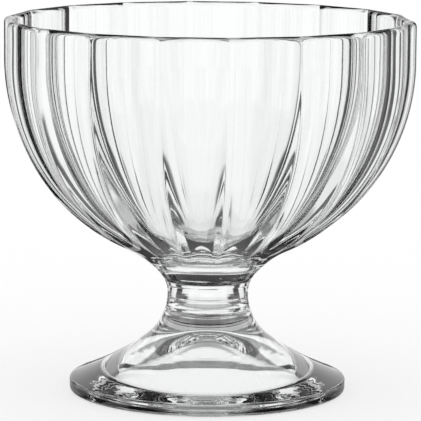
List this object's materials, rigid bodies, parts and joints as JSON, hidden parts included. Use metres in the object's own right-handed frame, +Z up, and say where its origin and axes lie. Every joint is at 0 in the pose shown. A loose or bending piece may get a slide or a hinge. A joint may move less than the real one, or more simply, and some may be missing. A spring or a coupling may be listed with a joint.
{
  "type": "parfait glass",
  "caption": "Low footed dessert glass of clear pressed glass, with a wide half-round fluted bowl, a short solid stem and a round foot with a hollow underside.",
  "frame": {"origin": "centre of the standing ring, on the surface the glass stands on", "axes": "+Z up along the axis of the glass, +X to the right and +Y away from the viewer as pictured"},
  "size_m": [0.105, 0.1048, 0.0957],
  "materials": {
    "bowl_glass": "clear, fire polished",
    "stem_glass": "clear, fire polished",
    "foot_glass": "clear, fire polished"
  },
  "bodies": {
    "root": {"bowl": "bowl_glass", "stem": "stem_glass", "foot": "foot_glass"}
  },
  "joints": []
}
